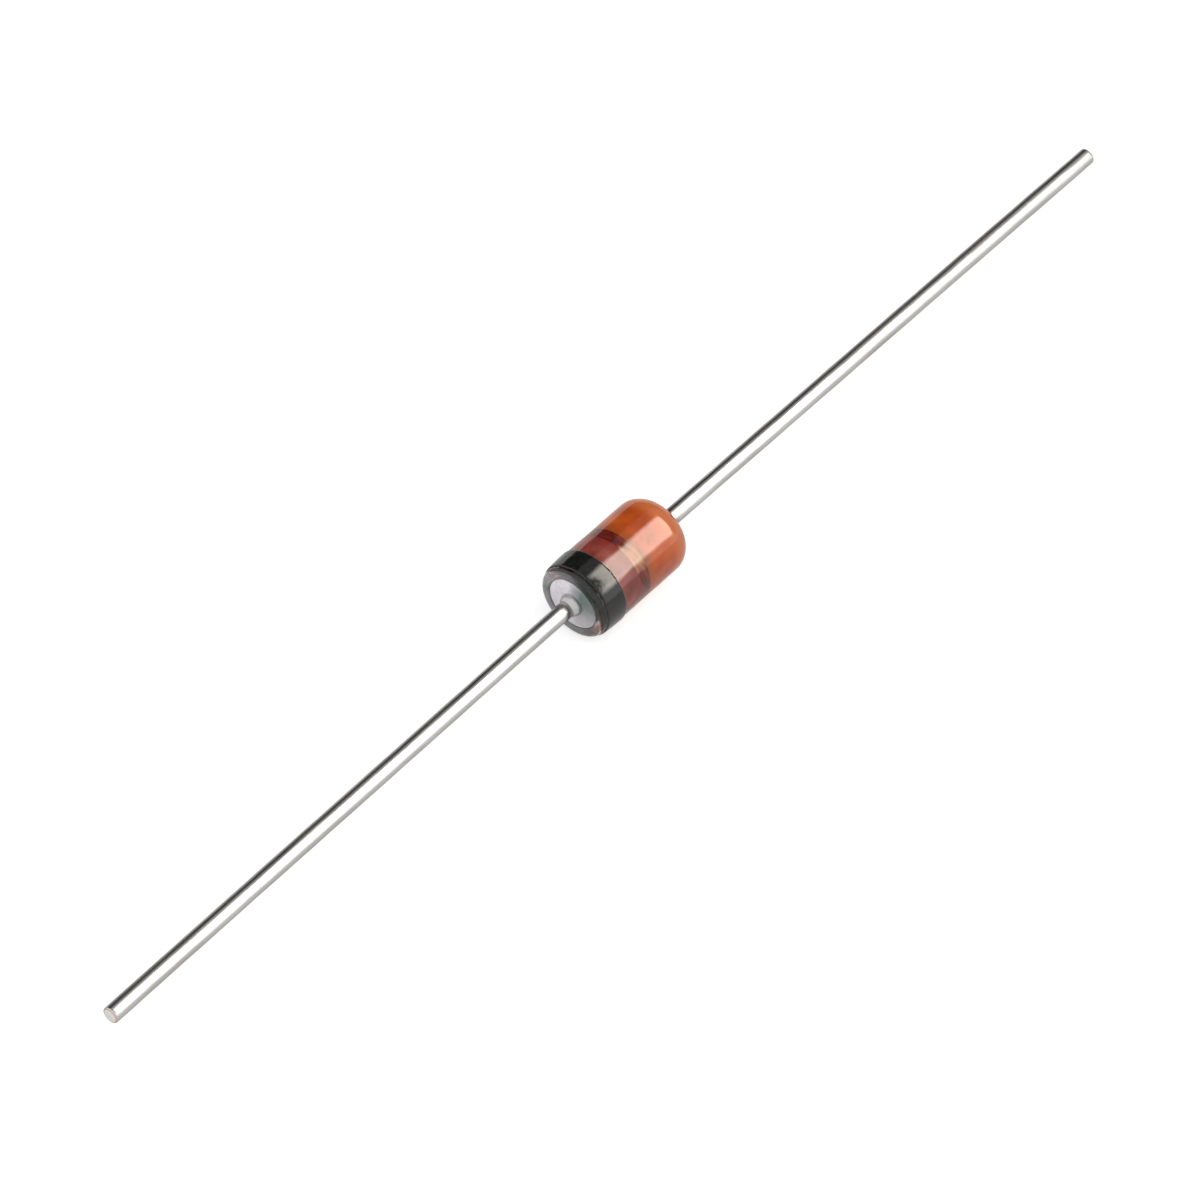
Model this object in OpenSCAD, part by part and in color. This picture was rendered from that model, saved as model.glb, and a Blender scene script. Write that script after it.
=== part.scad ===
// Axial zener diode with a glass body, lying with its leads along X.
// The origin is the middle of the glass body, on the lead axis. -X is the cathode, which has the band.
// All sizes are in millimetres.

/* [Glass sleeve] */
// Diameter of the glass body
glass_d = 2.25; // [2.1:0.05:2.6]
// Length of the glass body
glass_len = 3.7; // [3.4:0.1:5]
// Wall of the glass, from the slugs to the outside
glass_wall = 0.34; // [0.3:0.02:0.46]
// Rounding of the blunt glass end, at the cathode
cathode_end_round = 0.15; // [0.08:0.01:0.2]
// Rounding of the domed glass end, at the anode, where the glass drew in over the slug
anode_end_round = 0.6; // [0.4:0.05:0.6]
// Rounding of the glass where the cathode's bore opens
bore_edge_round = 0.05; // [0.02:0.01:0.08]
// How deep the cathode slug's outer face lies inside the glass
cathode_recess = 0.03; // [0.02:0.01:0.15]
// How deep the anode slug's outer face lies inside the glass
anode_recess = 0.15; // [0.1:0.01:0.2]

/* [Cathode band] */
// Width of the painted band
band_w = 0.72; // [0.4:0.02:0.9]
// Thickness of the paint
band_t = 0.03; // [0.02:0.005:0.05]
// Bare glass between the rounding of the cathode end and the band
band_inset = 0.02; // [0:0.01:0.1]

/* [Chip and its contacts] */
// Side of the square silicon chip
chip_side = 0.62; // [0.4:0.02:0.8]
// Thickness of the chip
chip_t = 0.2; // [0.14:0.01:0.28]
// Side of the solder preform under the chip
solder_side = 0.7; // [0.5:0.02:0.8]
// Thickness of the solder preform
solder_t = 0.03; // [0.02:0.005:0.05]
// Diameter of the silver bump on the chip, at its foot
bump_d = 0.38; // [0.2:0.02:0.4]
// Height of the silver bump
bump_h = 0.05; // [0.03:0.005:0.08]

/* [Slugs] */
// Rounding of the edges of both slugs
slug_edge_round = 0.04; // [0.02:0.01:0.08]

/* [Leads] */
// Diameter of the lead wire
lead_d = 0.5; // [0.44:0.01:0.56]
// Length of each lead, from the end of the glass to its cut tip
lead_len = 18; // [10:1:28]
// Diameter of the weld bead that joins a lead to its slug
weld_d = 0.68; // [0.6:0.02:0.7]
// Hollow rounding from the weld bead to the wire
weld_fillet = 0.1; // [0.05:0.01:0.15]
// Bevel that the cutter leaves on the wire's tip
tip_bevel = 0.04; // [0.02:0.01:0.06]

/* [Hidden] */
$fn = 64;
glass_r = glass_d / 2;
half_len = glass_len / 2;
slug_r = glass_r - glass_wall;
cathode_face = half_len - cathode_recess;
anode_face = half_len - anode_recess;
stack_len = solder_t + chip_t + bump_h;
half_stack = stack_len / 2;
// the drawn-in lip of the domed end is a half round that fills the recess
lip_r = anode_recess / 2;
lip_ring_r = glass_r - anode_end_round;
lead_r = lead_d / 2;
lead_tip = half_len + lead_len;
weld_r = weld_d / 2;
// the hollow rounding touches both the bead and the wire
hollow_r = lead_r + weld_fillet;
hollow_z = sqrt(pow(weld_r + weld_fillet, 2) - pow(hollow_r, 2));
bead_share = weld_r / (weld_r + weld_fillet);
band_start = half_len - cathode_end_round - band_inset;
// the bump is the cap of a ball
bump_r = bump_d / 2;
bump_ball_r = (pow(bump_r, 2) + pow(2 * bump_h, 2)) / (4 * bump_h);

// turns a profile drawn as radius and height into a body round the lead axis, height along +X
module turned_on_axis() {
    rotate([0, 90, 0]) rotate_extrude() children();
}

// puts a piece drawn for the anode end at the cathode end
module at_cathode() {
    mirror([1, 0, 0]) children();
}

// quarter of a disc, from the radius direction to the +X end
module quarter_disc(r) {
    intersection() {
        circle(r);
        square(r);
    }
}

// outline of the +X half of the glass, as if it were solid, with its end rounded by r
module half_outline(r) {
    square([glass_r - r, half_len]);
    square([glass_r, half_len - r]);
    translate([glass_r - r, half_len - r]) quarter_disc(r);
}

// outline of the glass with its two rounded ends, as if it were solid
module glass_outline() {
    half_outline(anode_end_round);
    mirror([0, 1]) half_outline(cathode_end_round);
}

// what is open inside the glass: the bore, its rounded mouth and the narrow mouth of the domed end
module glass_hollow() {
    translate([0, -glass_len]) square([slug_r, glass_len + anode_face]);
    difference() {
        translate([0, -glass_len])
            square([slug_r + bore_edge_round, half_len + bore_edge_round]);
        translate([slug_r + bore_edge_round, bore_edge_round - half_len]) circle(bore_edge_round);
    }
    difference() {
        square([lip_ring_r, glass_len]);
        translate([lip_ring_r, half_len - lip_r]) circle(lip_r);
    }
}

// soft glass tube, melted onto the slugs so that it seals the chip in
module glass_sleeve() {
    color("lightcyan", 0.4) turned_on_axis() difference() {
        glass_outline();
        glass_hollow();
    }
}

// ring of black paint that marks the cathode
module cathode_band() {
    color("black") at_cathode() turned_on_axis()
        translate([glass_r, band_start - band_w]) square([band_t, band_w]);
}

// copper clad slug with rounded edges, from the chip's side to its outer face
module slug(outer_face) {
    color("orangered") turned_on_axis() {
        translate([0, half_stack]) square([slug_r - slug_edge_round, outer_face - half_stack]);
        translate([0, half_stack + slug_edge_round])
            square([slug_r, outer_face - half_stack - 2 * slug_edge_round]);
        for (z = [half_stack + slug_edge_round, outer_face - slug_edge_round])
            translate([slug_r - slug_edge_round, z]) circle(slug_edge_round);
    }
}

module cathode_slug() {
    at_cathode() slug(cathode_face);
}

module anode_slug() {
    slug(anode_face);
}

// solder preform between the cathode slug and the chip's back
module chip_solder() {
    color("silver") translate([solder_t / 2 - half_stack, 0, 0])
        cube([solder_t, solder_side, solder_side], center = true);
}

// square silicon chip with the zener junction
module zener_chip() {
    color("dimgray") translate([solder_t + chip_t / 2 - half_stack, 0, 0])
        cube([chip_t, chip_side, chip_side], center = true);
}

// silver bump plated on the chip, flattened where the anode slug presses on it
module chip_bump() {
    color("whitesmoke") translate([half_stack - bump_h, 0, 0]) turned_on_axis() intersection() {
        translate([0, 2 * bump_h - bump_ball_r]) circle(bump_ball_r);
        square([bump_r, bump_h]);
    }
}

// tinned wire from its weld bead on a slug's outer face to its cut tip
module lead(face) {
    color("silver") turned_on_axis() {
        translate([0, face]) {
            quarter_disc(weld_r);
            difference() {
                translate([0, hollow_z * bead_share])
                    square([hollow_r * bead_share, hollow_z * (1 - bead_share)]);
                translate([hollow_r, hollow_z]) circle(weld_fillet);
            }
        }
        translate([0, face]) square([lead_r, lead_tip - face - tip_bevel]);
        translate([0, lead_tip - tip_bevel])
            polygon([[0, 0], [lead_r, 0], [lead_r - tip_bevel, tip_bevel], [0, tip_bevel]]);
    }
}

module cathode_lead() {
    at_cathode() lead(cathode_face);
}

module anode_lead() {
    lead(anode_face);
}

glass_sleeve();
cathode_band();
cathode_slug();
anode_slug();
zener_chip();
chip_solder();
chip_bump();
cathode_lead();
anode_lead();
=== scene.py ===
"""Looks of an axial zener diode in a glass body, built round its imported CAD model. Lengths are in metres."""
import math

import bmesh
import bpy
import numpy as np
from mathutils import Matrix, Vector


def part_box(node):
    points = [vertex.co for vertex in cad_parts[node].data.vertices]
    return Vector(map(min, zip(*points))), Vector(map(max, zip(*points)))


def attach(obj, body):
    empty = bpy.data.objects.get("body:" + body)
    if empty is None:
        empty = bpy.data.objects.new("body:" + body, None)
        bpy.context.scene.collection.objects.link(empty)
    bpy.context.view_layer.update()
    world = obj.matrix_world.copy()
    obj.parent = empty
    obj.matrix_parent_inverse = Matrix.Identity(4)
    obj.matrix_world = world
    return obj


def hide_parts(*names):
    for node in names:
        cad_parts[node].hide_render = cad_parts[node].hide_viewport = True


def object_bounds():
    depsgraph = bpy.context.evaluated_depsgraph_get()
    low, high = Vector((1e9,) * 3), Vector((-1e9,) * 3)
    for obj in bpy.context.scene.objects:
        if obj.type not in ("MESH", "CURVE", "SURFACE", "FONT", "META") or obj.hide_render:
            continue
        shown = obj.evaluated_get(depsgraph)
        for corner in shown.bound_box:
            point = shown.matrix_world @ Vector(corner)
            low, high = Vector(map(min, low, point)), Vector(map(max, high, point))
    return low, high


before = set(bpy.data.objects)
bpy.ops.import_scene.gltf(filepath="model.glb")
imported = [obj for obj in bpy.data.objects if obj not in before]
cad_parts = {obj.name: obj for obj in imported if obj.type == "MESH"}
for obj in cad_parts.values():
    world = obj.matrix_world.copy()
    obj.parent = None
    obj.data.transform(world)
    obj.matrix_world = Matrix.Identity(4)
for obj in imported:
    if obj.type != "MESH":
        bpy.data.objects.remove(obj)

cad_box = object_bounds()
MM = 0.001

# Glass sleeve
# A short tube of clear soft glass, cut from drawn tube and melted onto both slugs in a furnace. That
# drew the cathode end in a little, domed the anode end over its slug, and left faint ripples all over.
glass_high = np.array(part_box("glass_sleeve")[1])
slug_low, slug_high = (np.array(corner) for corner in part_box("anode_slug"))
CATHODE_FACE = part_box("cathode_slug")[0][0]
GLASS_R = glass_high[1]
HALF_GLASS = glass_high[0]
SLUG_R = slug_high[1]
ANODE_FACE = slug_high[0]
STACK_FACE = slug_low[0]
CATHODE_END_ROUND = 0.15 * MM
ANODE_END_ROUND = 0.6 * MM
BORE_EDGE_ROUND = 0.05 * MM
SLUG_EDGE_ROUND = 0.04 * MM
GLASS_GRIP = 0.002 * MM  # the glass reaches this far into what it is melted onto
NECK_IN = 0.03 * MM  # how far the soft glass crept into the space round the chip
WAIST, WAIST_REACH = 0.006 * MM, 0.35 * MM
DRAWN_IN, DRAW_START, DRAW_REACH = 0.05 * MM, 0.95 * MM, 0.9 * MM
WAVE = 0.002 * MM
INSIDE = 0.004 * MM  # keeps the waves within the solid's radius
UNFROSTED_SIDE = (0, -0.93, 0.37)  # the cut end is left clear on this side and frosted on the other, which is partly painted light
GLASS_TINT = (0.93, 0.975, 0.945)
CUT_TINT = (0.62, 0.64, 0.64)
ROUND_SIDES = 160


def arc(middle_x, middle_r, radius, first, last, steps=14):
    """Points (x, r) on a circle round (middle_x, middle_r), from angle first to last, in degrees from +x."""
    t = np.radians(np.linspace(first, last, steps))
    return np.column_stack([middle_x + radius * np.cos(t), middle_r + radius * np.sin(t)])


def line(first, last, steps):
    """Points (x, r) evenly spaced between two points."""
    return np.linspace(first, last, steps)


def solid_mesh(name, points, closed=False):
    """Closed mesh over a grid of points, an array of (rows, points in a row, 3).

    Each row closes round, and the last row meets the first if closed is set. Doubled points are merged,
    faces turned outwards, and the shading is smooth.
    """
    rows, sides = points.shape[:2]
    i, j = np.meshgrid(np.arange(rows if closed else rows - 1), np.arange(sides), indexing="ij")
    here, there = i * sides, (i + 1) % rows * sides
    next_j = (j + 1) % sides
    quads = np.stack([here + j, here + next_j, there + next_j, there + j], axis=-1)
    mesh = bpy.data.meshes.new(name)
    mesh.from_pydata(points.reshape(-1, 3).tolist(), [], quads.reshape(-1, 4).tolist())
    work = bmesh.new()
    work.from_mesh(mesh)
    bmesh.ops.remove_doubles(work, verts=work.verts, dist=1e-9)
    bmesh.ops.recalc_face_normals(work, faces=work.faces)
    work.to_mesh(mesh)
    work.free()
    mesh.polygons.foreach_set("use_smooth", np.ones(len(mesh.polygons), bool))
    mesh.update()
    piece = bpy.data.objects.new(name, mesh)
    bpy.context.collection.objects.link(piece)
    return piece


def turned(name, profile, sides=ROUND_SIDES, closed=False, shift=None):
    """Surface of revolution: point (i, j) is (x_i, r_i cos t_j, r_i sin t_j), with t_j in even steps round X.

    The profile is rows of (x, r). It starts and ends on the axis, or is closed and comes back to its
    first point. shift(x, r, t) gives a change of r at each grid point.
    """
    x, r = profile[:, :1], profile[:, 1:]
    t = np.linspace(0, 2 * np.pi, sides, endpoint=False)[None, :]
    all_r = np.repeat(r, sides, axis=1)
    if shift is not None:
        all_r = all_r + shift(x, r, t) * (r > 0)
    points = np.stack([np.repeat(x, sides, axis=1), all_r * np.cos(t), all_r * np.sin(t)], axis=-1)
    return solid_mesh(name, points, closed)


def glass_ripple(x, r, t):
    """Change of radius of the outer glass: a waist over the chip, a drawn-in cut end, and slow waves.

    The waist is a bell curve of x. The drawn-in end grows with the square of the way along it. The waves
    are sines of twice and three times the angle, and turn slowly along x.
    """
    outer = np.clip((r - SLUG_R) / (GLASS_R - SLUG_R), 0, 1)
    waist = np.exp(-((x / WAIST_REACH) ** 2))
    drawn = np.clip((-x - DRAW_START) / DRAW_REACH, 0, 1) ** 2
    waves = np.sin(2 * t + 0.8 + x / (0.9 * MM)) + 0.6 * np.sin(3 * t - 1.9 - x / (0.6 * MM))
    return outer * (WAVE * waves - WAIST * waist - DRAWN_IN * drawn - INSIDE)


def glass_profile():
    """Closed outline of the glass wall: outside, domed end with its half-round lip, bore and blunt end."""
    lip_r = (HALF_GLASS - ANODE_FACE) / 2
    bore = SLUG_R - GLASS_GRIP
    neck_x = np.linspace(STACK_FACE, -STACK_FACE, 15)
    neck_r = bore - NECK_IN * np.cos(np.pi / 2 * neck_x / STACK_FACE)
    return np.vstack([
        arc(CATHODE_END_ROUND - HALF_GLASS, GLASS_R - CATHODE_END_ROUND, CATHODE_END_ROUND, 180, 90),
        line((CATHODE_END_ROUND - HALF_GLASS, GLASS_R), (HALF_GLASS - ANODE_END_ROUND, GLASS_R), 90)[1:-1],
        arc(HALF_GLASS - ANODE_END_ROUND, GLASS_R - ANODE_END_ROUND, ANODE_END_ROUND, 90, 0, 28),
        arc(HALF_GLASS - lip_r, GLASS_R - ANODE_END_ROUND, lip_r, 0, -180, 16)[1:],
        (ANODE_FACE - GLASS_GRIP, GLASS_R - ANODE_END_ROUND + 0.01 * MM),
        arc(ANODE_FACE - SLUG_EDGE_ROUND, SLUG_R - SLUG_EDGE_ROUND, SLUG_EDGE_ROUND - GLASS_GRIP, 0, 90, 7),
        (STACK_FACE + 0.3 * MM, bore),
        np.column_stack([neck_x, neck_r]),
        line((-STACK_FACE, bore), (BORE_EDGE_ROUND - HALF_GLASS, bore), 3)[1:-1],
        arc(BORE_EDGE_ROUND - HALF_GLASS, bore + BORE_EDGE_ROUND, BORE_EDGE_ROUND, 270, 180, 8),
    ])


def material(name):
    """Empty node material. Returns the material, its nodes and a function that links them."""
    made = bpy.data.materials.new(name)
    made.use_nodes = True
    made.node_tree.nodes.clear()
    return made, made.node_tree.nodes, made.node_tree.links.new


def to_surface(nodes, link, shader):
    """Sends a shader's result to the surface of the material."""
    output = nodes.new("ShaderNodeOutputMaterial")
    link(shader.outputs[0], output.inputs["Surface"])


def own_place(nodes, link):
    """Place on the piece in its own coordinates: the vector, and then its x, y and z."""
    place = nodes.new("ShaderNodeTexCoord").outputs["Object"]
    split = nodes.new("ShaderNodeSeparateXYZ")
    link(place, split.inputs["Vector"])
    return place, *split.outputs


def object_noise(nodes, link, scale, detail=3.0, stretch=(1, 1, 1)):
    """Noise on the piece's own coordinates, with features of about 1 / scale metres. Returns its number."""
    place = nodes.new("ShaderNodeTexCoord")
    mapping = nodes.new("ShaderNodeMapping")
    mapping.inputs["Scale"].default_value = stretch
    noise = nodes.new("ShaderNodeTexNoise")
    noise.inputs["Scale"].default_value = scale
    noise.inputs["Detail"].default_value = detail
    link(place.outputs["Object"], mapping.inputs["Vector"])
    link(mapping.outputs["Vector"], noise.inputs["Vector"])
    return noise.outputs["Fac"]


def ramp(nodes, link, number, *stops):
    """Colour ramp over a number, with stops of (place, colour)."""
    made = nodes.new("ShaderNodeValToRGB")
    link(number, made.inputs["Fac"])
    elements = made.color_ramp.elements
    while len(elements) < len(stops):
        elements.new(0.5)
    for element, (place, colour) in zip(elements, stops):
        element.position = place
        element.color = (*colour, 1)
    return made.outputs["Color"]


def grey_ramp(nodes, link, number, *stops):
    """The same ramp for a plain number, such as a roughness."""
    return ramp(nodes, link, number, *((place, (value,) * 3) for place, value in stops))


def bump(nodes, link, number, depth, under=None):
    """Bump of the given depth in metres from a number, over another bump if one is given."""
    made = nodes.new("ShaderNodeBump")
    made.inputs["Distance"].default_value = depth
    made.inputs["Strength"].default_value = 1.0
    link(number, made.inputs["Height"])
    if under is not None:
        link(under, made.inputs["Normal"])
    return made.outputs["Normal"]


def slope(nodes, link, number, start, end):
    """0 up to start, 1 from end on, and a straight slope between. The start may be the larger of the two."""
    made = nodes.new("ShaderNodeMapRange")
    made.inputs["From Min"].default_value = start
    made.inputs["From Max"].default_value = end
    link(number, made.inputs["Value"])
    return made.outputs["Result"]


def reckon(nodes, link, operation, *numbers):
    """Result of a Math node on one or two numbers, each a socket or a plain value."""
    made = nodes.new("ShaderNodeMath")
    made.operation = operation
    for socket, value in zip(made.inputs, numbers):
        if isinstance(value, (int, float)):
            socket.default_value = value
        else:
            link(value, socket)
    return made.outputs[0]


def plus(nodes, link, first, second):
    """Sum of two numbers."""
    return reckon(nodes, link, "ADD", first, second)


def minus(nodes, link, first, second):
    """First number less the second."""
    return reckon(nodes, link, "SUBTRACT", first, second)


def times(nodes, link, first, *others):
    """Product of two or more numbers."""
    for other in others:
        first = reckon(nodes, link, "MULTIPLY", first, other)
    return first


def larger(nodes, link, first, second):
    """The larger of two numbers."""
    return reckon(nodes, link, "MAXIMUM", first, second)


def against(nodes, link, operation, place, fixed):
    """Dot product or distance of a place and a fixed vector."""
    made = nodes.new("ShaderNodeVectorMath")
    made.operation = operation
    made.inputs[1].default_value = fixed
    link(place, made.inputs[0])
    return made.outputs["Value"]


def blend(nodes, link, share, first, second):
    """Mix of two colours, each a socket or a plain colour. A share of 0 gives the first."""
    made = nodes.new("ShaderNodeMix")
    made.data_type = "RGBA"
    link(share, made.inputs["Factor"])
    for name, value in (("A", first), ("B", second)):
        socket = [s for s in made.inputs if s.name == name and s.type == "RGBA"][0]
        if isinstance(value, tuple):
            socket.default_value = (*value, 1)
        else:
            link(value, socket)
    return [s for s in made.outputs if s.type == "RGBA"][0]


def clear_glass():
    """Soft glass, clear with a trace of green, and with slow furnace ripples.

    The cut face at the cathode end is greyer, and matt and frosted in patches on its side facing +Y and -Z.
    The frost is the cut's own matt finish; keeping it to that side makes that side lighter, a painted light.
    """
    made, nodes, link = material("soft_glass")
    shader = nodes.new("ShaderNodeBsdfPrincipled")
    shader.inputs["IOR"].default_value = 1.53
    place, x, *_ = own_place(nodes, link)
    cloud = object_noise(nodes, link, 3000)
    cut = slope(nodes, link, x, -HALF_GLASS + 0.05 * MM, -HALF_GLASS + 0.01 * MM)
    # The frost keeps to the side facing +Y and -Z: the cut's own matt finish, and a painted light where it
    # makes that side lighter.
    frost_and_painted_light = slope(nodes, link, against(nodes, link, "DOT_PRODUCT", place, UNFROSTED_SIDE), 0.7 * MM, -0.5 * MM)
    matt = times(nodes, link, cut, frost_and_painted_light, slope(nodes, link, cloud, 0.2, 0.75))
    frost = ramp(
        nodes, link, object_noise(nodes, link, 2400, detail=2.0),
        (0.4, (0.16, 0.165, 0.17)), (0.6, (0.38, 0.36, 0.40)),
    )
    clear = blend(nodes, link, cut, GLASS_TINT, CUT_TINT)
    link(blend(nodes, link, matt, clear, frost), shader.inputs["Base Color"])
    link(minus(nodes, link, 1.0, matt), shader.inputs["Transmission Weight"])
    smooth = grey_ramp(nodes, link, object_noise(nodes, link, 5000), (0.3, 0.0), (0.75, 0.05))
    link(larger(nodes, link, smooth, times(nodes, link, cut, 0.3)), shader.inputs["Roughness"])
    ripples = object_noise(nodes, link, 1600, detail=1.0, stretch=(0.5, 1, 1))
    link(bump(nodes, link, ripples, 0.02 * MM), shader.inputs["Normal"])
    to_surface(nodes, link, shader)
    return made


def finish_of(piece, made, node):
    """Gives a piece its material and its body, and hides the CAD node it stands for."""
    piece.data.materials.append(made)
    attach(piece, "root")
    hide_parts(node)


tube = turned("glass_tube", glass_profile(), closed=True, shift=glass_ripple)
finish_of(tube, clear_glass(), "glass_sleeve")

# Slugs
# Two equal lengths of copper-clad nickel iron wire with a red oxide skin, to which the glass sticks.
# The skin shows drawn lines and darker patches. Their outer faces were tinned with the leads, and two dark
# patches painted on the cathode's tin face, towards -Y, are painted shade.
# Dark patches painted on the cathode's tin face, towards -Y: painted shade.
PAINTED_FACE_SHADES = (  # y and z of the middle, reach, depth and colour
    (-0.56 * MM, 0.40 * MM, 0.75 * MM, 0.88, (0.10, 0.16, 0.14)),
    (-0.50 * MM, -0.30 * MM, 0.70 * MM, 0.60, (0.34, 0.34, 0.34)),
)


def slug_profile(first, last):
    """Outline of a round slug with rounded edges, from one face to the other."""
    flat_r = SLUG_R - SLUG_EDGE_ROUND
    return np.vstack([
        line((first, 0), (first, flat_r), 6)[:-1],
        arc(first + SLUG_EDGE_ROUND, flat_r, SLUG_EDGE_ROUND, 180, 90, 7),
        line((first + SLUG_EDGE_ROUND, SLUG_R), (last - SLUG_EDGE_ROUND, SLUG_R), 24)[1:-1],
        arc(last - SLUG_EDGE_ROUND, flat_r, SLUG_EDGE_ROUND, 90, 0, 7),
        line((last, flat_r), (last, 0), 6)[1:],
    ])


def oxide_copper(name, shades, by_the_chip, outer_end_tone_and_shade, outer_face):
    """Copper oxide skin in three shades with drawn lines along X, and tin on the outer face.

    The skin has one colour where the chip's heat scorched it and another at its outer end. On the cathode
    that one is a dark teal, a painted shade where the black band shades the slug.
    """
    made, nodes, link = material(name)
    shader = nodes.new("ShaderNodeBsdfPrincipled")
    shader.inputs["Specular IOR Level"].default_value = 0.15
    place, x, *_ = own_place(nodes, link)
    outwards = reckon(nodes, link, "ABSOLUTE", x)
    patches = object_noise(nodes, link, 2200, detail=4.0, stretch=(0.6, 1, 1))
    lines = object_noise(nodes, link, 14000, detail=2.0, stretch=(0.04, 1, 1))
    skin = ramp(nodes, link, patches, *zip((0.3, 0.5, 0.72), shades))
    near_chip = slope(nodes, link, outwards, 0.5 * MM, 0.16 * MM)
    scorched = times(nodes, link, near_chip, slope(nodes, link, patches, 0.25, 0.6))
    skin = blend(nodes, link, scorched, skin, by_the_chip)
    # Colour towards the outer face: on the cathode a dark teal, a painted shade under the black band.
    outer_end_share = slope(nodes, link, outwards, outer_face - 0.55 * MM, outer_face - 0.2 * MM)
    skin = blend(nodes, link, outer_end_share, skin, outer_end_tone_and_shade)
    lumps = object_noise(nodes, link, 4200)
    tin = ramp(nodes, link, lumps, (0.3, (0.76, 0.72, 0.78)), (0.65, (0.95, 0.91, 0.97)))
    # Painted shade: two dark patches on the cathode's tin face.
    for shade_y, shade_z, reach, depth, colour in PAINTED_FACE_SHADES:
        apart = against(nodes, link, "DISTANCE", place, (CATHODE_FACE, shade_y, shade_z))
        shaded_patch = slope(nodes, link, apart, reach, 0.4 * reach)
        tin = blend(nodes, link, times(nodes, link, shaded_patch, depth), tin, colour)
    tinned_part = reckon(nodes, link, "GREATER_THAN", outwards, outer_face - SLUG_EDGE_ROUND / 2)
    link(blend(nodes, link, tinned_part, skin, tin), shader.inputs["Base Color"])
    link(plus(nodes, link, times(nodes, link, tinned_part, 0.1), 0.2), shader.inputs["Metallic"])
    skin_rough = plus(nodes, link, 0.36, times(nodes, link, lines, 0.3))
    tin_rough = minus(nodes, link, 0.5, times(nodes, link, lumps, 0.35))
    change = times(nodes, link, tinned_part, minus(nodes, link, tin_rough, skin_rough))
    link(plus(nodes, link, skin_rough, change), shader.inputs["Roughness"])
    skin_lines = times(nodes, link, lines, minus(nodes, link, 1.0, tinned_part))
    fine = bump(nodes, link, skin_lines, 0.004 * MM)
    tin_lumps = times(nodes, link, lumps, tinned_part)
    link(bump(nodes, link, tin_lumps, 0.05 * MM, under=fine), shader.inputs["Normal"])
    to_surface(nodes, link, shader)
    return made


# The cathode's outer-end colour, a dark teal, is a painted shade under the black band.
red_oxide = oxide_copper(
    "red_oxide_copper", ((0.22, 0.028, 0.024), (0.38, 0.062, 0.046), (0.52, 0.12, 0.095)),
    (0.36, 0.022, 0.014), (0.015, 0.04, 0.032), -CATHODE_FACE,
)
cathode_slug = turned("slug_at_cathode", slug_profile(CATHODE_FACE, -STACK_FACE))
finish_of(cathode_slug, red_oxide, "cathode_slug")
orange_oxide = oxide_copper(
    "orange_oxide_copper", ((0.52, 0.072, 0.008), (0.72, 0.11, 0.008), (0.84, 0.17, 0.012)),
    (0.36, 0.10, 0.014), (0.78, 0.21, 0.07), ANODE_FACE,
)
anode_slug = turned("slug_at_anode", slug_profile(STACK_FACE, ANODE_FACE))
finish_of(anode_slug, orange_oxide, "anode_slug")

# Oxide film
# Fumes of the copper's red oxide settled on the glass round the chip while it was sealed. They left a
# thin dark red film there, which hides the chip from outside. Along the lamp's streak the film is painted
# amber, a painted highlight.
FILM = 0.004 * MM
# The side where the lamp's streak crosses the film; the amber there is a painted highlight.
STREAK_SIDE = (0, -0.62, 0.785)
STREAK_AMBER = (0.78, 0.30, 0.10)


def film_profile():
    """Closed outline of the film: half its thickness out from the glass's inner wall, and half in.

    The wall follows the neck of the glass, a cosine of x that ends at the slugs' faces.
    """
    reach = STACK_FACE + 0.8 * SLUG_EDGE_ROUND
    x = np.linspace(reach, -reach, 31)
    wall = SLUG_R - GLASS_GRIP - NECK_IN * np.cos(np.pi / 2 * np.clip(x / STACK_FACE, -1, 1))
    outside = np.column_stack([x, wall + FILM / 2])
    inside = np.column_stack([x, wall - FILM / 2])[::-1]
    return np.vstack([outside, inside])


def dark_oxide():
    """Dark red oxide, cloudy, deeper where the fumes lay thick."""
    made, nodes, link = material("dark_red_oxide")
    shader = nodes.new("ShaderNodeBsdfPrincipled")
    shader.inputs["Specular IOR Level"].default_value = 0.2
    cloud = object_noise(nodes, link, 3500, detail=4.0, stretch=(2.5, 1, 1))
    shades = ramp(
        nodes, link, cloud,
        (0.3, (0.07, 0.003, 0.002)), (0.52, (0.21, 0.007, 0.002)), (0.72, (0.34, 0.04, 0.008)),
    )
    place, *_ = own_place(nodes, link)
    # Painted highlight: the film turns amber along the lamp's streak.
    towards_streak = against(nodes, link, "DOT_PRODUCT", place, STREAK_SIDE)
    uneven = plus(nodes, link, towards_streak, times(nodes, link, cloud, 0.2 * MM))
    painted_highlight = times(nodes, link, slope(nodes, link, uneven, 0.76 * MM, 0.86 * MM), 0.85)
    link(blend(nodes, link, painted_highlight, shades, STREAK_AMBER), shader.inputs["Base Color"])
    link(grey_ramp(nodes, link, cloud, (0.3, 0.7), (0.7, 0.45)), shader.inputs["Roughness"])
    link(bump(nodes, link, cloud, 0.004 * MM), shader.inputs["Normal"])
    to_surface(nodes, link, shader)
    return made


film = turned("oxide_film", film_profile(), closed=True)
film.data.materials.append(dark_oxide())
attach(film, "root")

# Chip, solder and bump
# A square chip of sawn silicon sits on a reflowed solder preform on the cathode slug. A plated silver
# bump on its polished top touches the anode slug. The oxide film hides them from outside.
chip_low, chip_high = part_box("zener_chip")
solder_low, solder_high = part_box("chip_solder")
bump_low, bump_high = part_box("chip_bump")
CHIP_BEVEL = 0.004 * MM
SAW_DEPTH = 0.06 * MM  # the first, wider saw cut ends this far from the chip's back
SAW_STEP = 0.02 * MM
PAD_EDGE = 0.012 * MM  # the solder stands up this far from the slug before it draws in to the chip
PAD_SHOWS = 0.012 * MM  # how much of the solder is left round the chip's back
SQUARE_SIDES = 64


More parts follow.
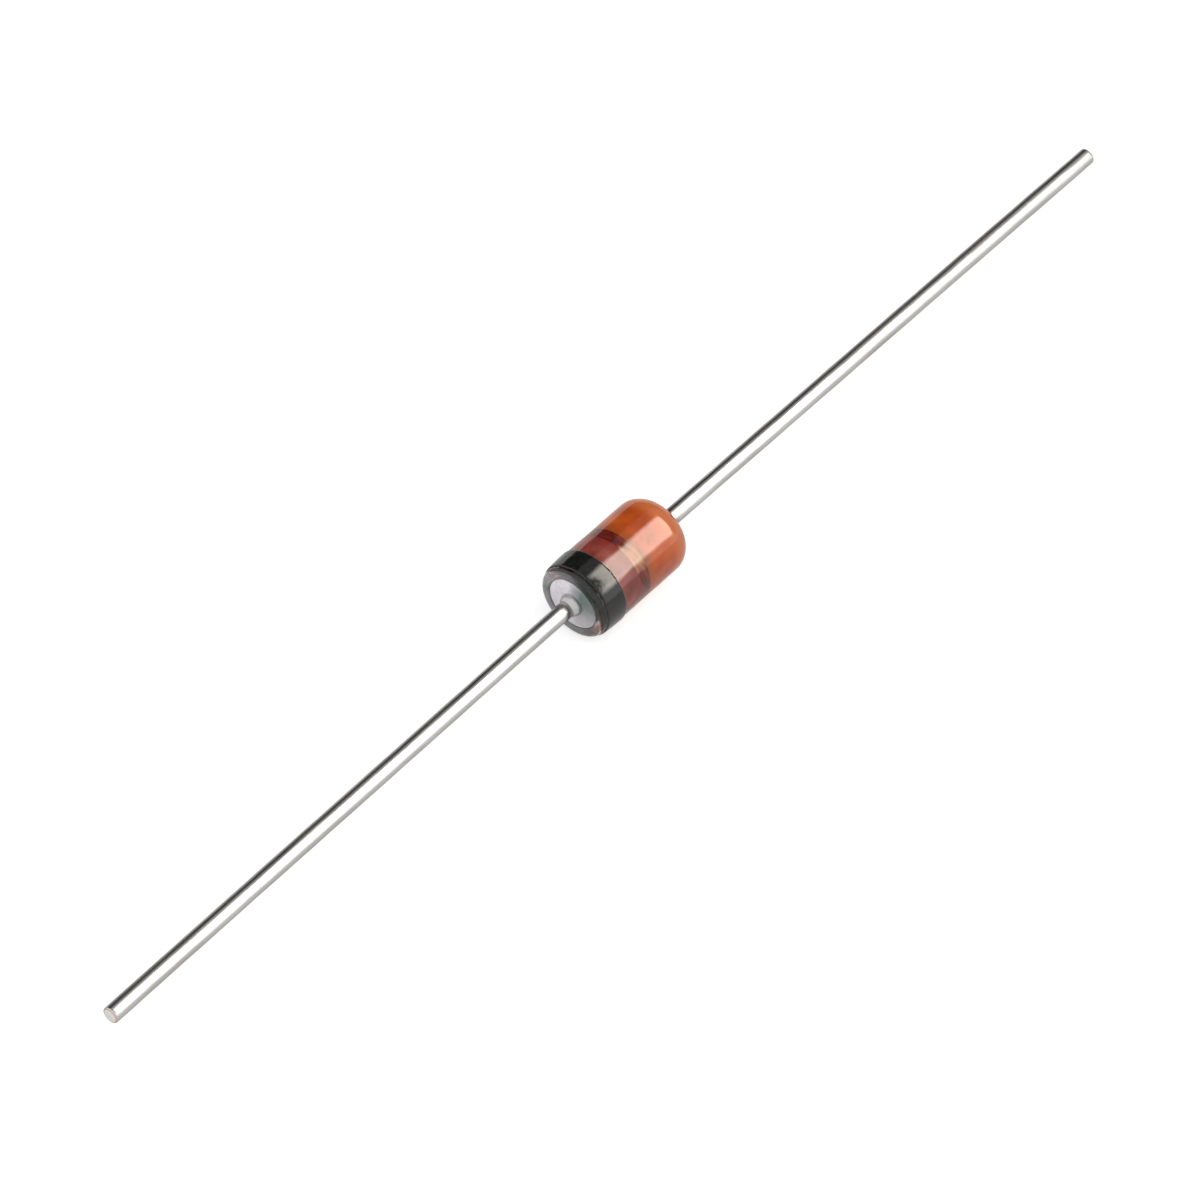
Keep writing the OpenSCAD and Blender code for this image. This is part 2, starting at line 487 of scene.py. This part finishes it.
def square_stack(name, levels, squareness):
    """Square-ish solid along X: each level is (x, half side), and its outline is a superellipse of that size.

    A superellipse has r = half / (|cos t|^n + |sin t|^n)^(1/n), so n = 2 is a circle and a large n a square.
    """
    x, half = (np.array(row)[:, None] for row in zip(*levels))
    t = np.linspace(0, 2 * np.pi, SQUARE_SIDES, endpoint=False) + np.pi / SQUARE_SIDES
    reach = (np.abs(np.cos(t)) ** squareness + np.abs(np.sin(t)) ** squareness) ** (-1 / squareness)
    points = [np.repeat(x, SQUARE_SIDES, axis=1), half * reach * np.cos(t), half * reach * np.sin(t)]
    return solid_mesh(name, np.stack(points, axis=-1))


def speckled(name, dark, light, roughness, scale, depth, metallic=1.0):
    """Even finish with fine mottling between two shades, and a bump of the same grain."""
    made, nodes, link = material(name)
    shader = nodes.new("ShaderNodeBsdfPrincipled")
    shader.inputs["Metallic"].default_value = metallic
    grain = object_noise(nodes, link, scale, detail=4.0)
    link(ramp(nodes, link, grain, (0.3, dark), (0.7, light)), shader.inputs["Base Color"])
    link(grey_ramp(nodes, link, grain, (0.3, roughness[0]), (0.7, roughness[1])), shader.inputs["Roughness"])
    link(bump(nodes, link, grain, depth), shader.inputs["Normal"])
    to_surface(nodes, link, shader)
    return made


def bump_profile():
    """Cap of a ball, flattened where the slug presses. The ball follows from the bump's foot and height.

    For the bump's height h and foot radius f, the whole cap is 2 h high, and the ball's radius is
    (f^2 + 4 h^2) / 4 h.
    """
    foot, height = bump_high[1], bump_high[0] - bump_low[0]
    ball = (foot ** 2 + (2 * height) ** 2) / (4 * height)
    x = np.linspace(0, height, 10)
    r = np.sqrt(ball ** 2 - (ball - 2 * height + x) ** 2)
    return np.vstack([(bump_low[0], 0), np.column_stack([bump_low[0] + x, r]), (bump_high[0], 0)])


half_chip = chip_high[1]
chip = square_stack("silicon_chip", [
    (chip_low[0], 0),
    (chip_low[0], half_chip - CHIP_BEVEL),
    (chip_low[0] + CHIP_BEVEL, half_chip),
    (chip_low[0] + SAW_DEPTH, half_chip),
    (chip_low[0] + SAW_DEPTH + 0.005 * MM, half_chip - SAW_STEP),
    (chip_high[0] - CHIP_BEVEL, half_chip - SAW_STEP),
    (chip_high[0], half_chip - SAW_STEP - CHIP_BEVEL),
    (chip_high[0], 0),
], squareness=24.0)
silicon = speckled(
    "sawn_silicon", (0.09, 0.095, 0.12), (0.26, 0.27, 0.31), (0.45, 0.2), 26000, 0.003 * MM, metallic=0.6,
)
finish_of(chip, silicon, "zener_chip")

pad = square_stack("solder_pad", [
    (solder_low[0], 0),
    (solder_low[0], solder_high[1]),
    (solder_low[0] + PAD_EDGE, solder_high[1]),
    (solder_high[0], half_chip + PAD_SHOWS),
    (solder_high[0], 0),
], squareness=6.0)
solder = speckled("reflowed_solder", (0.40, 0.39, 0.40), (0.66, 0.66, 0.67), (0.5, 0.3), 12000, 0.006 * MM)
finish_of(pad, solder, "chip_solder")

silver = speckled("plated_silver", (0.66, 0.65, 0.62), (0.90, 0.89, 0.86), (0.5, 0.35), 30000, 0.002 * MM)
finish_of(turned("silver_bump", bump_profile(), sides=64), silver, "chip_bump")

# Leads
# Tinned copper-clad steel wire, butt welded to the slugs. The weld left a round bead with a hollow
# rounding into the wire, and browned the anode's. The cutter left a bevelled tip. Each wire leans a
# little to one side.
lead_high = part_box("anode_lead")[1]
LEAD_TIP = lead_high[0]
WELD_R = lead_high[1]
LEAD_R = 0.25 * MM
WELD_FILLET = 0.1 * MM
TIP_BEVEL = 0.04 * MM
COPPER_SKIN = 0.06 * MM
TIN_BEADS = 0.0022 * MM
TIN_INSIDE = 0.008 * MM  # the wire is this much thinner than its solid
LEAN = 0.0066  # how far a lead leans towards -Y, as a share of its length
LEAN_START = 1.5 * MM
WIRE_SIDES = 64


def lead_profile(face):
    """Outline of a lead from its slug's face: quarter circle of the weld bead, hollow rounding, wire, tip."""
    hollow_r = LEAD_R + WELD_FILLET
    hollow_x = math.sqrt((WELD_R + WELD_FILLET) ** 2 - hollow_r ** 2)
    meet = math.degrees(math.atan2(hollow_r, hollow_x))
    tip = LEAD_TIP - TIP_BEVEL
    return np.vstack([
        (face, 0),
        arc(face, 0, WELD_R, 90, meet, 12),
        arc(face + hollow_x, hollow_r, WELD_FILLET, meet + 180, 270, 8)[1:],
        line((face + hollow_x, LEAD_R), (tip, LEAD_R), 420)[1:],
        arc(tip, LEAD_R - TIP_BEVEL, TIP_BEVEL, 90, 0, 7)[1:],
        (LEAD_TIP, 0),
    ])


def tin_unevenness(x, r, t):
    """Change of radius where the tin lies thicker: slow beads along the wire and a lopsided coat.

    The beads are a product of two sines of x, and the coat is a cosine of the angle that turns along x.
    """
    beads = np.sin(x / (0.83 * MM)) * np.sin(x / (0.31 * MM) + 1.1) + np.cos(t + x / (2.3 * MM))
    return TIN_BEADS * beads - TIN_INSIDE


def leaned(piece):
    """Leans a straight lead: y drops by LEAN * (sqrt(u^2 + a^2) - a), with u the way out from the glass."""
    mesh = piece.data
    points = np.empty(len(mesh.vertices) * 3)
    mesh.vertices.foreach_get("co", points)
    points = points.reshape(-1, 3)
    out = np.maximum(np.abs(points[:, 0]) - HALF_GLASS, 0)
    points[:, 1] -= LEAN * (np.sqrt(out ** 2 + LEAN_START ** 2) - LEAN_START)
    mesh.vertices.foreach_set("co", points.ravel())
    mesh.update()
    return piece


def tinned():
    """Bright tin with drawn lines along X and slow waves, browned by the anode's weld, and cut at the tip.

    The cut face shows the steel core inside its ring of copper.
    """
    made, nodes, link = material("bright_tin")
    shader = nodes.new("ShaderNodeBsdfPrincipled")
    shader.inputs["Metallic"].default_value = 1.0
    shader.inputs["Specular Tint"].default_value = (0.6, 0.6, 0.6, 1)
    shader.inputs["Anisotropic"].default_value = 0.75
    round_wire = nodes.new("ShaderNodeTangent")
    round_wire.direction_type = "RADIAL"
    round_wire.axis = "X"
    link(round_wire.outputs["Tangent"], shader.inputs["Tangent"])
    lines = object_noise(nodes, link, 22000, detail=2.0, stretch=(0.03, 1, 1))
    patches = object_noise(nodes, link, 1500, detail=4.0, stretch=(0.3, 1, 1))
    _, x, y, z = own_place(nodes, link)
    out = reckon(nodes, link, "ABSOLUTE", x)
    anode_side = slope(nodes, link, x, -0.35 * HALF_GLASS, HALF_GLASS)
    near_weld = slope(nodes, link, out, HALF_GLASS + 0.9 * MM, HALF_GLASS - 0.1 * MM)
    smudge = slope(nodes, link, object_noise(nodes, link, 4000), 0.42, 0.62)
    browned = times(nodes, link, near_weld, smudge, anode_side)
    clean = ramp(nodes, link, patches, (0.3, (0.47, 0.465, 0.46)), (0.7, (0.61, 0.61, 0.605)))
    skin = blend(nodes, link, browned, clean, (0.40, 0.17, 0.09))
    centred_y = plus(nodes, link, y, LEAN * (LEAD_TIP - HALF_GLASS - LEAN_START))
    squares = plus(nodes, link, times(nodes, link, centred_y, centred_y), times(nodes, link, z, z))
    from_axis = slope(nodes, link, reckon(nodes, link, "SQRT", squares), 0, LEAD_R)
    core_share = (LEAD_R - COPPER_SKIN) / LEAD_R
    cut_face = ramp(
        nodes, link, from_axis,
        (core_share, (0.94, 0.93, 0.92)), (core_share + 0.02, (0.66, 0.45, 0.33)),
    )
    cut = slope(nodes, link, out, LEAD_TIP - 0.012 * MM, LEAD_TIP - 0.008 * MM)
    link(blend(nodes, link, cut, skin, cut_face), shader.inputs["Base Color"])
    link(grey_ramp(nodes, link, patches, (0.3, 0.28), (0.7, 0.2)), shader.inputs["Roughness"])
    fine = bump(nodes, link, lines, 0.003 * MM)
    link(bump(nodes, link, patches, 0.01 * MM, under=fine), shader.inputs["Normal"])
    to_surface(nodes, link, shader)
    return made


tin = tinned()
for name, profile, node in (
    ("wire_at_anode", lead_profile(ANODE_FACE), "anode_lead"),
    ("wire_at_cathode", lead_profile(-CATHODE_FACE) * (-1, 1), "cathode_lead"),
):
    wire = turned(name, profile, sides=WIRE_SIDES, shift=tin_unevenness)
    finish_of(leaned(wire), tin, node)

# Cathode band
# A ring of gloss black paint, rolled onto the glass and baked. Its edges wander slightly, and the
# paint thins towards them.
band_low, band_high = (np.array(corner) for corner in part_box("cathode_band"))
PAINT = band_high[1] - GLASS_R
EDGE_BACK = 0.008 * MM  # leaves room for the edges' wander inside the solid
EDGE_REACH = 0.05 * MM  # over this width the paint rises to its full thickness
STEPS_ACROSS = 40


def band_mesh():
    """Closed ring of paint: across it, its top rises as a quarter ellipse, runs flat, and falls the same way.

    Its two edges wander with the angle, as a sum of three sines.
    """
    t = np.linspace(0, 2 * np.pi, ROUND_SIDES, endpoint=False)
    wander = (0.006 * np.sin(3 * t + 0.4) + 0.004 * np.sin(7 * t + 2.0) + 0.002 * np.sin(19 * t)) * MM
    near = band_low[0] + EDGE_BACK + wander
    far = band_high[0] - EDGE_BACK + 0.8 * np.roll(wander, ROUND_SIDES // 3)
    across = np.concatenate([np.linspace(0, 1, STEPS_ACROSS), np.linspace(1, 0, STEPS_ACROSS)[1:-1]])
    top = np.arange(len(across)) < STEPS_ACROSS
    edge = np.minimum(across, 1 - across) * (band_high[0] - band_low[0]) / EDGE_REACH
    crown = top * np.sqrt(1 - (1 - np.clip(edge, 0, 1)) ** 2)
    x = near + across[:, None] * (far - near)
    r = GLASS_R + glass_ripple(x, GLASS_R, t) - GLASS_GRIP + crown[:, None] * PAINT
    return solid_mesh("paint_band", np.stack([x, r * np.cos(t), r * np.sin(t)], axis=-1), closed=True)


def black_paint():
    """Gloss black paint with faint orange peel and slightly duller patches."""
    made, nodes, link = material("black_paint")
    shader = nodes.new("ShaderNodeBsdfPrincipled")
    peel = object_noise(nodes, link, 9000, detail=2.0)
    black = ramp(nodes, link, peel, (0.3, (0.004, 0.0045, 0.004)), (0.75, (0.014, 0.016, 0.014)))
    link(black, shader.inputs["Base Color"])
    link(grey_ramp(nodes, link, peel, (0.3, 0.06), (0.75, 0.16)), shader.inputs["Roughness"])
    link(bump(nodes, link, peel, 0.0015 * MM), shader.inputs["Normal"])
    to_surface(nodes, link, shader)
    return made


finish_of(band_mesh(), black_paint(), "cathode_band")

# Camera
# A long lens looks down at the banded end, so that the leads cross the picture from lower left to
# upper right.
AXIS_TILT = 31.0  # degrees by which the banded end leans towards the camera
AXIS_SLOPE = 41.4  # degrees by which the leads rise in the picture
CAMERA_REACH = 228 * MM
VIEW_WIDTH = 31.35 * MM  # what the frame takes in at the body
SENSOR = 36
FRAME_PX = 1200
BODY_PX = (617.3, 564.6)  # where the middle of the glass lies in the photograph


def camera_direction():
    """Unit vector from the body to the camera, from the axis's lean and its slope in the picture.

    With azimuth p from -X and elevation e, sin lean = cos e cos p and tan slope = sin e cos p / sin p.
    """
    lean, rise = math.sin(math.radians(AXIS_TILT)), math.tan(math.radians(AXIS_SLOPE))
    cos_p = math.sqrt((lean ** 2 + rise ** 2) / (1 + rise ** 2))
    cos_e = lean / cos_p
    sin_p, sin_e = math.sqrt(1 - cos_p ** 2), math.sqrt(1 - cos_e ** 2)
    return Vector((-cos_e * cos_p, -cos_e * sin_p, sin_e))


camera_data = bpy.data.cameras.new("camera")
camera_data.sensor_width = SENSOR
camera_data.lens = SENSOR * CAMERA_REACH / VIEW_WIDTH
camera_data.clip_start, camera_data.clip_end = 0.01, 10
camera = bpy.data.objects.new("camera", camera_data)
bpy.context.collection.objects.link(camera)
to_camera = camera_direction()
turn = (-to_camera).to_track_quat("-Z", "Y")
right, up = turn @ Vector((1, 0, 0)), turn @ Vector((0, 1, 0))
px = VIEW_WIDTH / FRAME_PX
aim = right * (FRAME_PX / 2 - BODY_PX[0]) * px - up * (FRAME_PX / 2 - BODY_PX[1]) * px
camera.location = to_camera * CAMERA_REACH + aim
camera.rotation_mode = "QUATERNION"
camera.rotation_quaternion = turn
bpy.context.scene.camera = camera

# Floor and light
# A white table and backdrop, in a pale room with one warm soft lamp above the anode's side. Bright
# metal mirrors the room: a dark cloth at its back draws the dark line along the wires, and a bright
# board low on the near side lights their middle.
FLOOR_Z = float(cad_box[0][2])
FLOOR_REACH = 1.5
TABLE_WHITE = (0.6, 0.6, 0.6, 1)
TABLE_GLOW = 0.62  # what the table adds for the camera, to reach white
TABLE_GLOW_MIRRORED = 0.2  # what it adds where metal or glass shows it
FRONT_LEVEL = 1.05  # of the walls on the cathode's side, and of the foot of every wall
FAR_LEVEL = 0.4  # of the walls on the anode's side
BOARD_LEVEL = 1.6
CLOTH_DEPTH = 0.93
CLOTH_SIDE = (0, 0.87, -0.49)  # the cloth hangs on this side of a slanting plane
LAMP_REACH = 0.30
LAMP_ACROSS = 2 * LAMP_REACH * math.tan(math.radians(32))
LAMP_ALONG = 2 * LAMP_REACH * math.tan(math.radians(7.5))
LAMP_RADIANCE = 8.5


def white_table():
    """Matt white that also glows a little for the camera, so that it reaches white and keeps its shadow."""
    made, nodes, link = material("white_table")
    matt = nodes.new("ShaderNodeBsdfDiffuse")
    matt.inputs["Color"].default_value = TABLE_WHITE
    glow = nodes.new("ShaderNodeEmission")
    path = nodes.new("ShaderNodeLightPath")
    mirrored = larger(nodes, link, path.outputs["Is Glossy Ray"], path.outputs["Is Transmission Ray"])
    seen = times(nodes, link, path.outputs["Is Camera Ray"], TABLE_GLOW)
    strength = larger(nodes, link, seen, times(nodes, link, mirrored, TABLE_GLOW_MIRRORED))
    link(strength, glow.inputs["Strength"])
    both = nodes.new("ShaderNodeAddShader")
    link(matt.outputs["BSDF"], both.inputs[0])
    link(glow.outputs["Emission"], both.inputs[1])
    to_surface(nodes, link, both)
    return made


def room_level(nodes, link):
    """Level of the room in each direction. It falls from the cathode's side to the anode's.

    The board is brighter, the foot of the walls is as bright as the front, and the cloth is near black.
    """
    direction = nodes.new("ShaderNodeTexCoord").outputs["Generated"]
    split = nodes.new("ShaderNodeSeparateXYZ")
    link(direction, split.inputs["Vector"])
    x, y, z = split.outputs
    falling = times(nodes, link, slope(nodes, link, x, -0.1, 0.25), FRONT_LEVEL - FAR_LEVEL)
    walls = minus(nodes, link, FRONT_LEVEL, falling)
    board = times(
        nodes, link, slope(nodes, link, x, 0.2, 0.35), slope(nodes, link, y, -0.64, -0.74), BOARD_LEVEL,
    )
    above_foot = slope(nodes, link, z, 0.08, 0.16)
    foot = minus(nodes, link, FRONT_LEVEL, above_foot)
    walls = larger(nodes, link, larger(nodes, link, walls, board), foot)
    behind = against(nodes, link, "DOT_PRODUCT", direction, CLOTH_SIDE)
    cloth = times(
        nodes, link, slope(nodes, link, behind, -0.04, 0.04), slope(nodes, link, x, 0.1, 0.25), above_foot,
        CLOTH_DEPTH,
    )
    return times(nodes, link, walls, minus(nodes, link, 1.0, cloth))


floor_mesh = bpy.data.meshes.new("table")
corners = [(x * FLOOR_REACH, y * FLOOR_REACH, FLOOR_Z) for x, y in ((-1, -1), (1, -1), (1, 1), (-1, 1))]
floor_mesh.from_pydata(corners, [], [(0, 1, 2, 3)])
floor_mesh.materials.append(white_table())
floor = bpy.data.objects.new("table", floor_mesh)
bpy.context.collection.objects.link(floor)

world = bpy.data.worlds.new("room")
bpy.context.scene.world = world
world.use_nodes = True
nodes, link = world.node_tree.nodes, world.node_tree.links.new
nodes.clear()
room = nodes.new("ShaderNodeBackground")
link(room_level(nodes, link), room.inputs["Color"])
backdrop = nodes.new("ShaderNodeBackground")
backdrop.inputs["Color"].default_value = (1, 1, 1, 1)
path = nodes.new("ShaderNodeLightPath")
pick = nodes.new("ShaderNodeMixShader")
seen = larger(nodes, link, path.outputs["Is Camera Ray"], path.outputs["Is Transmission Ray"])
link(seen, pick.inputs["Fac"])
link(room.outputs["Background"], pick.inputs[1])
link(backdrop.outputs["Background"], pick.inputs[2])
output = nodes.new("ShaderNodeOutputWorld")
link(pick.outputs["Shader"], output.inputs["Surface"])

lamp_data = bpy.data.lights.new("soft_lamp", "AREA")
lamp_data.shape = "RECTANGLE"
lamp_data.color = (1.0, 0.93, 0.82)
lamp_data.size, lamp_data.size_y = LAMP_ALONG, LAMP_ACROSS
lamp_data.energy = LAMP_RADIANCE * math.pi * LAMP_ALONG * LAMP_ACROSS
lamp_data.use_nodes = True
nodes, link = lamp_data.node_tree.nodes, lamp_data.node_tree.links.new
nodes.clear()
on_lamp = nodes.new("ShaderNodeSeparateXYZ")
link(nodes.new("ShaderNodeNewGeometry").outputs["Parametric"], on_lamp.inputs["Vector"])
fades = []
for way in (on_lamp.outputs["X"], on_lamp.outputs["Y"]):  # the light fades towards all four edges
    to_edge = reckon(nodes, link, "MINIMUM", way, minus(nodes, link, 1.0, way))
    fades.append(slope(nodes, link, to_edge, 0.02, 0.2))
lit = nodes.new("ShaderNodeEmission")
link(times(nodes, link, *fades), lit.inputs["Strength"])
lamp_output = nodes.new("ShaderNodeOutputLight")
link(lit.outputs["Emission"], lamp_output.inputs["Surface"])
lamp = bpy.data.objects.new("soft_lamp", lamp_data)
bpy.context.collection.objects.link(lamp)
to_lamp = Vector((0.515, -0.474, 0.714))
lamp.location = to_lamp * LAMP_REACH
lamp_along = (Vector((1, 0, 0)) - to_lamp * to_lamp.x).normalized()
lamp_across = to_lamp.cross(lamp_along)
lamp.rotation_mode = "QUATERNION"
lamp.rotation_quaternion = Matrix((lamp_along, lamp_across, to_lamp)).transposed().to_quaternion()

view = bpy.context.scene.view_settings
view.view_transform = "Standard"
